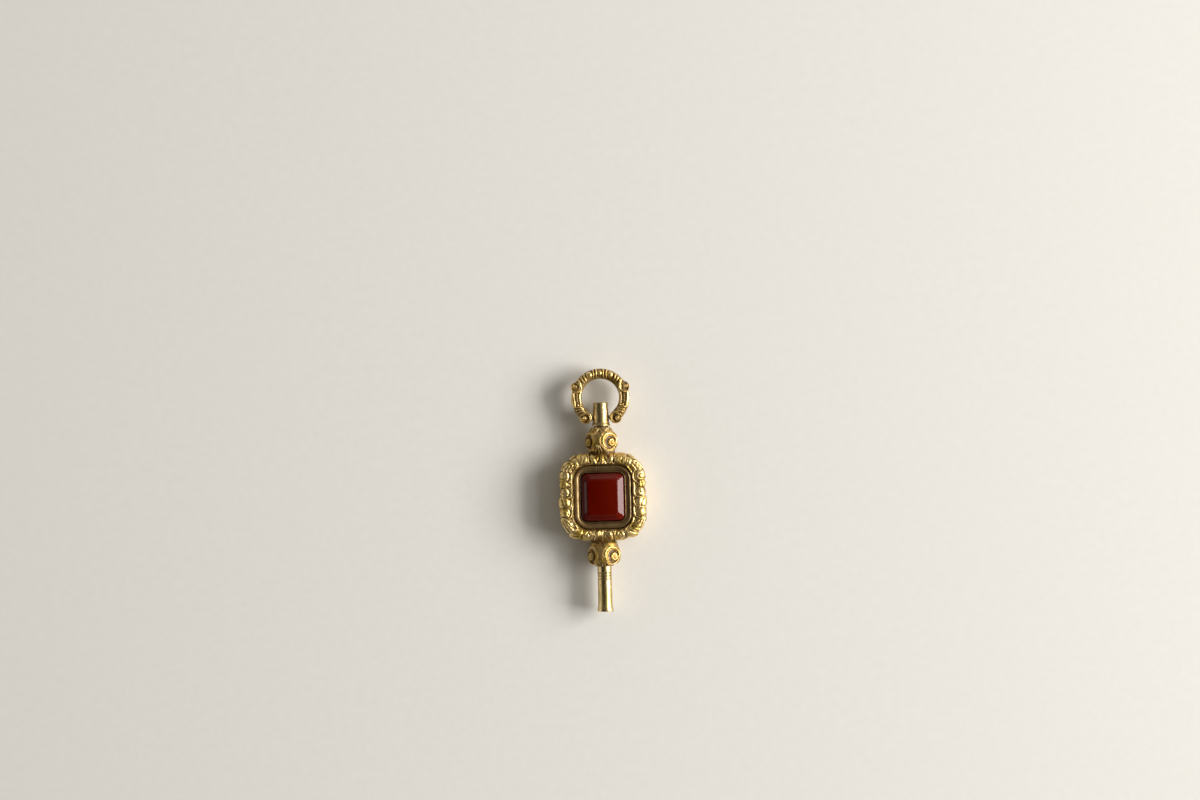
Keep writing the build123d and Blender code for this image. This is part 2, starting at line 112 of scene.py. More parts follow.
def curve(points, count):
    """Catmull-Rom through rows of numbers, evenly spaced along its first two columns."""
    p = np.array(points, float)
    if len(p) == 2:
        t = np.linspace(0, 1, count)[:, None]
        return p[0] * (1 - t) + p[1] * t
    e = np.vstack([2 * p[0] - p[1], p, 2 * p[-1] - p[-2]])
    out = []
    for i in range(len(p) - 1):
        t = np.linspace(0, 1, 24, endpoint=False)[:, None]
        a, b, c, d = e[i], e[i + 1], e[i + 2], e[i + 3]
        square, cube = 2 * a - 5 * b + 4 * c - d, 3 * b - a - 3 * c + d
        out.append(0.5 * (2 * b + (c - a) * t + square * t**2 + cube * t**3))
    out = np.vstack(out + [p[-1:]])
    length = np.r_[0, np.cumsum(np.hypot(*np.diff(out[:, :2], axis=0).T))]
    want = np.linspace(0, length[-1], count)
    return np.stack([np.interp(want, length, out[:, k]) for k in range(out.shape[1])], 1)


def stroke_height(x, y, strokes, crown=0.72):
    """Height in millimetres of chased strokes over points: each stroke is rows of x, y, half width
    and height. The highest stroke wins, so that a crease stays between neighbours."""
    best = np.zeros_like(x)
    for rows in strokes:
        rows = np.asarray(rows, float)
        reach = rows[:, 2].max()
        low, high = rows[:, :2].min(0) - reach, rows[:, :2].max(0) + reach
        near = (x > low[0]) & (x < high[0]) & (y > low[1]) & (y < high[1])
        if not near.any():
            continue
        px, py = x[near], y[near]
        top = np.zeros_like(px)
        for a, b in zip(rows[:-1], rows[1:]):
            run = b[:2] - a[:2]
            size = max(float(run @ run), 1e-12)
            t = np.clip(((px - a[0]) * run[0] + (py - a[1]) * run[1]) / size, 0, 1)
            d = np.hypot(px - a[0] - t * run[0], py - a[1] - t * run[1]) / (a[2] + (b[2] - a[2]) * t)
            h = a[3] + (b[3] - a[3]) * t
            top = np.maximum(top, h * np.clip(1 - d**2.3, 0, 1) ** crown)
        best[near] = np.maximum(best[near], top)
    return best


def arm(points, w0, w1, h0, h1=None, swell=0.0):
    """A tapering stroke through points; swell thickens its middle."""
    h1 = h0 if h1 is None else h1
    n = len(points)
    t = np.linspace(0, 1, n)
    rows = [
        (p[0], p[1], w0 + (w1 - w0) * k + swell * math.sin(math.pi * k), h0 + (h1 - h0) * k)
        for p, k in zip(points, t)
    ]
    return curve(rows, 14)


def bead(x, y, r, h):
    """A stroke so short that it is a round bead."""
    return np.array([(x, y, r, h), (x + 1e-4, y, r, h)])


def blur(field, times, wrap0, wrap1):
    """Averages each value of a grid with its neighbours, a number of times over."""
    for _ in range(times):
        for axis, wrap in ((0, wrap0), (1, wrap1)):
            pad = [(0, 0), (0, 0)]
            pad[axis] = (1, 1)
            g = np.pad(field, pad, mode="wrap" if wrap else "edge")
            a, b = (g[:-2], g[2:]) if axis == 0 else (g[:, :-2], g[:, 2:])
            field = 0.5 * field + 0.25 * (a + b)
    return field


# Meshes


def grid_quads(rows, cols, wrap_rows, wrap_cols):
    """Faces of a grid of points, as four point numbers each."""
    i = np.arange(rows if wrap_rows else rows - 1)
    j = np.arange(cols if wrap_cols else cols - 1)
    ii, jj = np.meshgrid(i, j, indexing="ij")
    a = ii * cols + jj
    b = ii * cols + (jj + 1) % cols
    c = ((ii + 1) % rows) * cols + (jj + 1) % cols
    d = ((ii + 1) % rows) * cols + jj
    return np.stack([a, b, c, d], -1).reshape(-1, 4)


def grid_normals(p, wrap0, wrap1):
    """Unit normals of a grid of points, rows by columns by 3."""

    def slope(axis, wrap):
        if wrap:
            return np.roll(p, -1, axis) - np.roll(p, 1, axis)
        return np.gradient(p, axis=axis)

    n = np.cross(slope(0, wrap0), slope(1, wrap1))
    size = np.linalg.norm(n, axis=-1, keepdims=True)
    return n / np.maximum(size, 1e-12)


class Sheet:
    """A grid of points in millimetres with its faces and its patina values, which on the knops also hold
    painted shade.
    """

    def __init__(self, points, patina_and_shade, wrap0, wrap1, flip=False):
        rows, cols = points.shape[:2]
        self.points = points.reshape(-1, 3)
        self.patina_and_shade = patina_and_shade.reshape(-1)
        quads = grid_quads(rows, cols, wrap0, wrap1)
        self.quads = quads[:, ::-1] if flip else quads

    def mirrored(self, axis):
        """A copy mirrored in the plane across an axis."""
        other = copy.copy(self)
        other.points = self.points.copy()
        other.points[:, axis] *= -1
        other.quads = self.quads[:, ::-1]
        return other

    def placed(self, matrix, origin):
        """A copy turned by a rotation's rows and moved to an origin."""
        other = copy.copy(self)
        other.points = self.points @ np.array(matrix, float) + np.array(origin, float)
        return other


def piece(name, sheets, body, nodes, material):
    """One Blender mesh from sheets, riding on a body and standing for CAD nodes."""
    points = np.concatenate([s.points for s in sheets])
    # the relief's highest points would stand up to 0.05 mm out of the CAD's box, so they are cut off
    points = np.clip(points, CAD_LOW, CAD_HIGH)
    patina_and_shade = np.concatenate([s.patina_and_shade for s in sheets])
    start, quads = 0, []
    for s in sheets:
        quads.append(s.quads + start)
        start += len(s.points)
    quads = np.concatenate(quads)
    mesh = bpy.data.meshes.new(name)
    mesh.vertices.add(len(points))
    mesh.vertices.foreach_set("co", (points * MM).astype(np.float32).ravel())
    mesh.loops.add(quads.size)
    mesh.loops.foreach_set("vertex_index", quads.astype(np.int32).ravel())
    mesh.polygons.add(len(quads))
    mesh.polygons.foreach_set("loop_start", np.arange(len(quads), dtype=np.int32) * 4)
    mesh.polygons.foreach_set("loop_total", np.full(len(quads), 4, dtype=np.int32))
    mesh.polygons.foreach_set("use_smooth", np.ones(len(quads), dtype=bool))
    mesh.update(calc_edges=True)
    mesh.validate()
    values = mesh.attributes.new("patina_and_shade", "FLOAT", "POINT")
    values.data.foreach_set("value", patina_and_shade.astype(np.float32))
    obj = bpy.data.objects.new(name, mesh)
    bpy.context.scene.collection.objects.link(obj)
    mesh.materials.append(material)
    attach(obj, body)
    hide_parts(*nodes)


def relief(points, normals, height, wrap0, wrap1, texture, seed, depth, spread):
    """Moves a grid along its normals by the chased height plus the hammer's small unevenness, and
    marks its recesses: what lies lower than the blurred surface round it, by about the depth."""
    flat = points.reshape(-1, 3)
    rough = value_noise(flat, 0.42, seed) * texture
    rough = rough + value_noise(flat, 0.17, seed + 5) * texture * 0.5
    h = height + rough.reshape(height.shape)
    low = blur(h, spread, wrap0, wrap1) - h
    wide = blur(h, spread * 6, wrap0, wrap1) - h
    patina_and_shade = np.clip(low / depth, 0, 1) * 0.75 + np.clip(wide / (depth * 2.2), 0, 1) * 0.55
    return points + normals * h[..., None], np.clip(patina_and_shade, 0, 1)


# Materials


def new_material(name):
    """A material with its node tree, its one shader and the coordinates of the piece that wears it."""
    material = bpy.data.materials.new(name)
    material.use_nodes = True
    tree = material.node_tree
    tree.nodes.clear()
    out = tree.nodes.new("ShaderNodeOutputMaterial")
    shader = tree.nodes.new("ShaderNodeBsdfPrincipled")
    tree.links.new(shader.outputs[0], out.inputs[0])
    coords = tree.nodes.new("ShaderNodeTexCoord").outputs["Object"]
    return material, tree, shader, coords


def noise(tree, coords, scale, detail=3.0, stretch=None):
    """Noise at a scale in cells to the metre, stretched where a factor is under 1."""
    vector = coords
    if stretch:
        mapping = tree.nodes.new("ShaderNodeMapping")
        mapping.inputs["Scale"].default_value = stretch
        tree.links.new(coords, mapping.inputs["Vector"])
        vector = mapping.outputs[0]
    tex = tree.nodes.new("ShaderNodeTexNoise")
    tex.inputs["Scale"].default_value = scale
    tex.inputs["Detail"].default_value = detail
    tex.inputs["Roughness"].default_value = 0.55
    tree.links.new(vector, tex.inputs["Vector"])
    return tex.outputs["Fac"]


def remap(tree, value, low, high, to_low=0.0, to_high=1.0):
    """Smoothly carries the range from low to high over to another."""
    node = tree.nodes.new("ShaderNodeMapRange")
    node.interpolation_type = "SMOOTHSTEP"
    for key, number in zip(("From Min", "From Max", "To Min", "To Max"), (low, high, to_low, to_high)):
        node.inputs[key].default_value = number
    tree.links.new(value, node.inputs["Value"])
    return node.outputs[0]


def sums(tree, operation, a, b):
    """A clamped operation on two sockets or numbers."""
    node = tree.nodes.new("ShaderNodeMath")
    node.operation = operation
    node.use_clamp = True
    for k, v in enumerate((a, b)):
        if isinstance(v, (int, float)):
            node.inputs[k].default_value = v
        else:
            tree.links.new(v, node.inputs[k])
    return node.outputs[0]


def blend(tree, factor, a, b):
    """A mix of two colours or sockets."""
    node = tree.nodes.new("ShaderNodeMix")
    node.data_type = "RGBA"
    tree.links.new(factor, node.inputs[0])
    for socket, value in ((node.inputs[6], a), (node.inputs[7], b)):
        if isinstance(value, tuple):
            socket.default_value = (*value, 1.0)
        else:
            tree.links.new(value, socket)
    return node.outputs[2]


def bump(tree, shader, height, strength, distance):
    """Tilts the shader's normals by a height, over a distance in metres."""
    node = tree.nodes.new("ShaderNodeBump")
    node.inputs["Strength"].default_value = strength
    node.inputs["Distance"].default_value = distance
    tree.links.new(height, node.inputs["Height"])
    tree.links.new(node.outputs[0], shader.inputs["Normal"])


def gilt(name, bright, dull, patina, rough, streak=None):
    """Worn gilding: bright on the raised work, duller in patches, brown in the recesses, and darker where
    the knops carry painted shade.
    """
    material, tree, shader, coords = new_material(name)
    shader.inputs["Specular IOR Level"].default_value = 0.12
    shader.inputs["Coat Weight"].default_value = 0.25
    shader.inputs["Coat Roughness"].default_value = 0.14
    patina_and_shade = tree.nodes.new("ShaderNodeAttribute")
    patina_and_shade.attribute_name = "patina_and_shade"
    patches = remap(tree, noise(tree, coords, 420.0, 4.0), 0.42, 0.66)
    grain = noise(tree, coords, 5200.0, stretch=streak)
    speck = remap(tree, noise(tree, coords, 2600.0, 2.0), 0.60, 0.72)
    uneven = remap(tree, noise(tree, coords, 1500.0), 0.25, 0.6, 0.65, 1.1)
    # dirt is patina in the hollows and, on the knops, painted shade as well
    dirt = sums(tree, "MULTIPLY", patina_and_shade.outputs["Fac"], uneven)
    dirt = sums(tree, "MAXIMUM", dirt, sums(tree, "MULTIPLY", speck, 0.3))
    metal = blend(tree, patches, bright, dull)
    tree.links.new(blend(tree, dirt, metal, patina), shader.inputs["Base Color"])
    tree.links.new(remap(tree, dirt, 0.45, 1.0, 1.0, 0.35), shader.inputs["Metallic"])
    worn = sums(tree, "MULTIPLY", remap(tree, grain, 0.3, 0.7), 0.12)
    worn = sums(tree, "ADD", worn, remap(tree, dirt, 0.0, 1.0, rough, 0.62))
    worn = sums(tree, "ADD", worn, sums(tree, "MULTIPLY", patches, 0.08))
    tree.links.new(worn, shader.inputs["Roughness"])
    bump(tree, shader, grain, 0.25, 0.00002)
    return material


def steel(name):
    """Drawn steel with brown stains."""
    material, tree, shader, coords = new_material(name)
    shader.inputs["Metallic"].default_value = 1.0
    grain = noise(tree, coords, 1800.0, stretch=(1.0, 0.12, 1.0))
    stain = remap(tree, noise(tree, coords, 600.0), 0.45, 0.7)
    colour = blend(tree, stain, (0.40, 0.39, 0.37), (0.17, 0.13, 0.10))
    tree.links.new(colour, shader.inputs["Base Color"])
    tree.links.new(remap(tree, grain, 0.3, 0.7, 0.28, 0.5), shader.inputs["Roughness"])
    bump(tree, shader, grain, 0.2, 0.00002)
    return material


def carnelian(name):
    """Deep red chalcedony with a faint cloud in it, under a high polish, and painted light that makes its
    right side lighter.
    """
    material, tree, shader, coords = new_material(name)
    cloud = remap(tree, noise(tree, coords, 240.0, 4.0, stretch=(1.0, 0.6, 1.0)), 0.35, 0.7)
    # painted light: the red runs from deep on the left to lighter and more orange on the right, the window's
    # side
    side = tree.nodes.new("ShaderNodeSeparateXYZ")
    tree.links.new(coords, side.inputs[0])
    across = remap(tree, side.outputs[0], -0.004, 0.004)
    deep = blend(tree, across, (0.070, 0.0012, 0.0001), (0.125, 0.0055, 0.0004))
    clouded = blend(tree, sums(tree, "MULTIPLY", cloud, 0.3), deep, (0.13, 0.008, 0.0015))
    tree.links.new(clouded, shader.inputs["Base Color"])
    shader.inputs["IOR"].default_value = 1.54
    shader.inputs["Specular IOR Level"].default_value = 0.28
    shader.inputs["Subsurface Weight"].default_value = 0.15
    shader.inputs["Subsurface Radius"].default_value = (0.0016, 0.0004, 0.0002)
    shader.inputs["Subsurface Scale"].default_value = 1.0
    marks = noise(tree, coords, 900.0, 2.0, stretch=(0.25, 1.0, 1.0))
    tree.links.new(remap(tree, marks, 0.3, 0.75, 0.035, 0.11), shader.inputs["Roughness"])
    bump(tree, shader, marks, 0.05, 0.00001)
    return material


def cement(name):
    """Dull brown shellac cement."""
    material, tree, shader, coords = new_material(name)
    grains = noise(tree, coords, 2400.0)
    colour = blend(tree, grains, (0.10, 0.06, 0.035), (0.22, 0.15, 0.09))
    tree.links.new(colour, shader.inputs["Base Color"])
    shader.inputs["Roughness"].default_value = 0.85
    bump(tree, shader, grains, 0.6, 0.00005)
    return material


# The grain of a turned piece is long in the direction of the shank
TURNED = (1.0, 0.1, 1.0)
GILT = gilt("worn_gilt", (0.86, 0.63, 0.265), (0.62, 0.42, 0.085), (0.095, 0.044, 0.004), 0.32)
GILT_PLAIN = gilt(
    "worn_gilt_turned", (0.72, 0.545, 0.245), (0.55, 0.40, 0.16), (0.075, 0.042, 0.014), 0.22, TURNED
)
GILT_POST = gilt(
    "worn_gilt_dull", (0.54, 0.405, 0.18), (0.36, 0.255, 0.09), (0.075, 0.042, 0.010), 0.30, TURNED
)
ROSE = gilt("dull_rose_gilt", (0.37, 0.245, 0.105), (0.25, 0.155, 0.06), (0.035, 0.02, 0.008), 0.32)
DARK = gilt("dirty_gilt", (0.12, 0.075, 0.03), (0.07, 0.045, 0.02), (0.03, 0.018, 0.008), 0.5)
STEEL = steel("stained_steel")
STONE = carnelian("polished_carnelian")
CEMENT = cement("setting_cement")


# The frame


def box_distance(x, y, hx, hy, r):
    """Distance to a rounded rectangle's outline, below zero inside it."""
    qx, qy = np.abs(x) - (hx - r), np.abs(y) - (hy - r)
    return np.hypot(np.maximum(qx, 0), np.maximum(qy, 0)) + np.minimum(np.maximum(qx, qy), 0) - r


def rounded_loop(hx, hy, r, count):
    """Points and outward normals round a rounded rectangle from the top's middle, clockwise."""
    fine, normals = [], []
    steps = 400

    def straight(a, b, n):
        t = np.linspace(0, 1, steps, endpoint=False)[:, None]
        fine.append(np.array(a) * (1 - t) + np.array(b) * t)
        normals.append(np.repeat([n], steps, 0))

    def corner(cx, cy, start):
        a = np.radians(start - np.linspace(0, 90, steps, endpoint=False))
        d = np.stack([np.cos(a), np.sin(a)], 1)
        fine.append(np.array([cx, cy]) + r * d)
        normals.append(d)

    ix, iy = hx - r, hy - r
    straight((0, hy), (ix, hy), (0, 1))
    corner(ix, iy, 90)
    straight((hx, iy), (hx, -iy), (1, 0))
    corner(ix, -iy, 0)
    straight((ix, -hy), (-ix, -hy), (0, -1))
    corner(-ix, -iy, -90)
    straight((-hx, -iy), (-hx, iy), (-1, 0))
    corner(-ix, iy, -180)
    straight((-ix, hy), (0, hy), (0, 1))
    closed = np.vstack([*fine, fine[0][:1]])
    normal = np.vstack([*normals, normals[0][:1]])
    length = np.r_[0, np.cumsum(np.hypot(*np.diff(closed, axis=0).T))]
    want = np.linspace(0, length[-1], count, endpoint=False)
    pts = np.stack([np.interp(want, length, closed[:, k]) for k in (0, 1)], 1)
    nor = np.stack([np.interp(want, length, normal[:, k]) for k in (0, 1)], 1)
    return pts, nor / np.linalg.norm(nor, axis=1, keepdims=True)


def reach_to(points, normals, sign, hx, hy, r):
    """How far from each point along sign times its normal the rounded rectangle's outline is."""
    low, high = np.zeros(len(points)), np.full(len(points), 4.0)
    for _ in range(30):
        mid = (low + high) / 2
        q = points + normals * (sign * mid)[:, None]
        inside = box_distance(q[:, 0], q[:, 1], hx, hy, r) * sign < 0
        low, high = np.where(inside, mid, low), np.where(inside, high, mid)
    return (low + high) / 2


def ring_sheet(centre, inner, outer, rows, total, switch, samples, count):
    """Sweeps a section round a rounded-rectangle band. Section rows are side (0 inner edge, 1 outer
    edge), distance from that edge into the band, and height, for a band of the total width; a wider
    or narrower place gives or takes width at the switch between two distances from the inner edge.
    Gives the grid, and the distances from the inner and the outer edge."""
    pts, nor = rounded_loop(*centre, count)
    d_in = reach_to(pts, nor, -1, *inner)
    d_out = reach_to(pts, nor, 1, *outer)
    width = d_in + d_out
    p = np.array(rows, float)
    flat = curve(np.stack([np.where(p[:, 0] > 0.5, total - p[:, 1], p[:, 1]), p[:, 2]], 1), samples)
    o = flat[None, :, 0] + (width - total)[:, None] * smoothstep(*switch, flat[:, 0])[None, :]
    grid = np.empty((count, samples, 3))
    grid[..., :2] = pts[:, None, :] + nor[:, None, :] * (o - d_in[:, None])[..., None]
    grid[..., 2] = flat[None, :, 1]
    return grid, o, width[:, None] - o


# Main forms on the right half of the band, from the top round to the bottom: share of the half path,
# then shift outwards, length and width in form widths, turn in degrees, and what is chased on it
FORMS = [
    (0.000, -0.08, 0.72, 0.36, 90, "finger"),
    (0.062, -0.06, 0.80, 0.44, 62, "finger"),
    (0.162, 0.02, 1.84, 1.24, 150, "scroll"),
    (0.268, 0.14, 1.16, 0.62, 8, "leaf"),
    (0.338, 0.18, 1.02, 1.02, 30, "scroll"),
    (0.398, 0.22, 0.66, 0.60, 10, "lobe"),
    (0.458, 0.16, 0.92, 0.80, 25, "curl"),
    (0.535, 0.24, 0.96, 0.84, -20, "lobe"),
    (0.615, 0.20, 0.98, 0.98, 200, "bead"),
    (0.702, 0.14, 1.46, 0.60, -12, "leaf"),
    (0.792, 0.10, 1.10, 0.72, -34, "leaf"),
    (0.872, 0.02, 1.20, 1.20, 120, "scroll"),
    (0.950, 0.00, 0.84, 0.46, -60, "finger"),
]

# How many lobes each leafy kind has
LOBES = {"leaf": 3, "lobe": 2, "finger": 1}


def snail(radius, start, turns, lift):
    """Ridges of a clockwise snail scroll about the origin: they touch, so creases part them, and
    the first turn is thick and the eye stands up."""
    n = int(34 * turns)
    t = np.linspace(0, 1, n)
    a = np.radians(start) - 2 * math.pi * turns * t
    r = radius * (0.74 * (1 - t) ** 1.05 + 0.02)
    pitch = radius * 0.74 * 1.05 / turns * (1 - t) ** 0.05
    w = pitch * (0.50 + 0.12 * np.sin(np.pi * t) ** 2) * smoothstep(-0.12, 0.10, t)
    w = np.maximum(w, 0.16 * radius * smoothstep(0, 0.1, t) + 0.02)
    h = lift * (0.75 + 0.5 * t)
    return np.stack([r * np.cos(a), r * np.sin(a), w, h], 1)


def form_height(x, y, form, path):
    """The mass of one form and the chasing on it, over points from the frame's middle."""
    along, shift, length, width, turn, kind = form
    pts, nor = path
    k = min(int(round(along * (len(pts) // 2))), len(pts) - 1)
    n = nor[k]
    cx, cy = pts[k] + n * shift * FORM_WIDTH
    a = math.atan2(-n[0], n[1]) + math.radians(turn if kind not in ("scroll", "bead") else 0)
    half_l, half_w = 1.10 * length * FORM_WIDTH / 2, 1.16 * width * FORM_WIDTH / 2
    u = (x - cx) * math.cos(a) + (y - cy) * math.sin(a)
    v = -(x - cx) * math.sin(a) + (y - cy) * math.cos(a)
    reach = max(half_l - half_w, 0.0)
    du = np.maximum(np.abs(u) - reach, 0.0)
    if kind in LOBES:
        count = LOBES[kind]
        ang = np.arctan2(v, u + half_l * 1.15)
        spread = math.atan2(half_w, half_l * 1.15) * 1.25
        bend = 0.30 * (u / half_l) ** 2 if kind == "leaf" else 0.0
        phase = np.clip(ang / spread + bend, -1, 1) * (count / 2.0) * math.pi
        ridge = np.abs(np.cos(phase + (0 if count % 2 else math.pi / 2))) ** 0.7
        grow = 1 + 0.13 * (ridge - 0.5) * smoothstep(-half_l, half_l, u)
    else:
        ridge, grow = np.ones_like(x), 1.0
    d = np.hypot(du, v) / (half_w * grow)
    mass = np.clip(1 - d**2.8, 0, 1) ** 0.62
    fine, dirt = np.zeros_like(x), np.zeros_like(x)
    if kind in LOBES:
        fine = -0.16 * (1 - ridge) * smoothstep(-half_l, -half_l * 0.3, u)
        fine = fine - (0.02 if kind == "finger" else 0.0)
        fine = fine + 0.05 * smoothstep(-half_l, half_l, u)
        if kind == "leaf":
            fine = fine - 0.035 * np.abs(np.sin(phase * 3)) * smoothstep(-half_l * 0.4, half_l * 0.4, u)
        dirt = 1 - smoothstep(0.1, 0.5, ridge)
    elif kind in ("scroll", "curl"):
        R = half_w * (1.0 if kind == "scroll" else 1.1)
        turned = math.radians(turn)
        # a long scroll has its spiral at the end nearer the top, and a ribbed arm behind it
        uc = u + 0.9 * reach
        uu = uc * math.cos(turned) + v * math.sin(turned)
        vv = -uc * math.sin(turned) + v * math.cos(turned)
        spiral = snail(R, 20, 1.5 if kind == "scroll" else 1.2, 0.17)
        fine = stroke_height(uu, vv, [spiral], 0.8) - 0.23
        dirt = 1 - smoothstep(-0.22, -0.14, fine)
        behind = smoothstep(0.72 * R, 0.92 * R, uc)
        rib = np.abs(np.cos((v / half_w + 0.18 * uc) * math.pi * 0.8)) ** 0.7
        fine = fine * (1 - behind) + (-0.02 - 0.15 * (1 - rib)) * behind
        dirt = dirt * (1 - behind) + (1 - smoothstep(0.1, 0.5, rib)) * behind
    elif kind == "bead":
        r = np.hypot(u, v) / half_w
        ring = np.clip(1 - (np.abs(r - 0.80) / 0.20) ** 2.2, 0, 1) ** 0.6 * 0.05
        knob = np.clip(1 - (r / 0.55) ** 2.3, 0, 1) ** 0.5 * 0.13
        fine = np.maximum(ring, knob) - 0.18
        dirt = 1 - smoothstep(-0.175, -0.14, fine)
    return mass, fine, dirt


# Curled stems on the right half, each hugging the setting's side of a form and rising between it and
# the next: share of the half path, shift in form widths, half width and height
STEMS = [
    [
        (0.205, -0.06, 0.12, 0.26), (0.218, -0.32, 0.23, 0.34), (0.262, -0.47, 0.25, 0.34),
        (0.306, -0.42, 0.13, 0.22),
    ],
    [
        (0.288, -0.08, 0.11, 0.26), (0.304, -0.32, 0.22, 0.34), (0.342, -0.45, 0.27, 0.34),
        (0.380, -0.36, 0.20, 0.32), (0.392, -0.10, 0.11, 0.26),
    ],
    [
        (0.392, -0.46, 0.13, 0.22), (0.425, -0.44, 0.24, 0.32), (0.470, -0.42, 0.27, 0.35),
        (0.497, -0.20, 0.20, 0.34), (0.503, 0.14, 0.11, 0.30),
    ],
    [
        (0.500, -0.47, 0.13, 0.24), (0.535, -0.46, 0.25, 0.33), (0.568, -0.28, 0.22, 0.34),
        (0.577, 0.04, 0.12, 0.30),
    ],
    [
        (0.578, -0.47, 0.13, 0.24), (0.612, -0.47, 0.26, 0.34), (0.650, -0.34, 0.22, 0.34),
        (0.662, 0.0, 0.12, 0.30),
    ],
    [
        (0.658, -0.49, 0.13, 0.24), (0.700, -0.49, 0.25, 0.34), (0.748, -0.44, 0.20, 0.30),
        (0.785, -0.30, 0.11, 0.20),
    ],
    [(0.780, -0.48, 0.12, 0.24), (0.815, -0.42, 0.22, 0.32), (0.834, -0.12, 0.12, 0.28)],
    [(0.098, -0.30, 0.10, 0.22), (0.104, -0.04, 0.17, 0.30), (0.098, 0.22, 0.13, 0.26)],
    [(0.913, -0.36, 0.12, 0.24), (0.921, -0.06, 0.20, 0.32), (0.913, 0.26, 0.14, 0.28)],
]

# Small stems between the main forms, right half: rows of x, y from the frame's middle
FRAME_STROKES = [
    arm([(1.60, 6.02), (1.78, 6.34), (1.98, 6.50)], 0.10, 0.15, 0.14, 0.12),
    arm([(4.02, 6.02), (4.30, 6.10), (4.55, 5.90)], 0.12, 0.16, 0.14, 0.16),
    arm([(5.62, 4.75), (6.15, 4.95), (6.75, 5.05)], 0.12, 0.20, 0.14, 0.20),
    arm([(5.62, 2.75), (5.66, 3.3), (5.62, 3.9)], 0.09, 0.11, 0.12, 0.14),
    arm([(5.62, 2.48), (6.1, 2.52), (6.9, 2.48)], 0.09, 0.14, 0.12, 0.18),
    arm([(5.58, 1.35), (5.64, 0.8), (5.60, 0.2)], 0.09, 0.12, 0.12, 0.14),
    arm([(5.62, 0.0), (6.2, -0.05), (6.9, -0.02)], 0.09, 0.15, 0.12, 0.18),
    arm([(5.60, -0.55), (5.68, -0.95), (5.60, -1.45)], 0.08, 0.12, 0.12, 0.14),
    arm([(5.62, -1.55), (6.1, -1.5), (6.6, -1.38)], 0.09, 0.13, 0.12, 0.16),
    arm([(5.60, -1.9), (5.66, -2.5), (5.58, -3.2)], 0.08, 0.11, 0.12, 0.14),
    arm([(5.58, -3.45), (6.2, -3.55), (6.9, -3.55)], 0.10, 0.15, 0.12, 0.18),
    arm([(5.10, -4.9), (5.45, -4.45), (5.60, -3.9)], 0.10, 0.13, 0.14, 0.14),
    arm([(3.95, -5.98), (4.2, -6.3), (4.4, -6.9)], 0.10, 0.16, 0.14, 0.18),
    arm([(1.52, -5.98), (1.68, -6.5), (1.72, -7.1)], 0.10, 0.16, 0.14, 0.18),
    arm([(0.22, -5.95), (0.26, -6.5), (0.30, -7.2)], 0.11, 0.16, 0.14, 0.18),
]


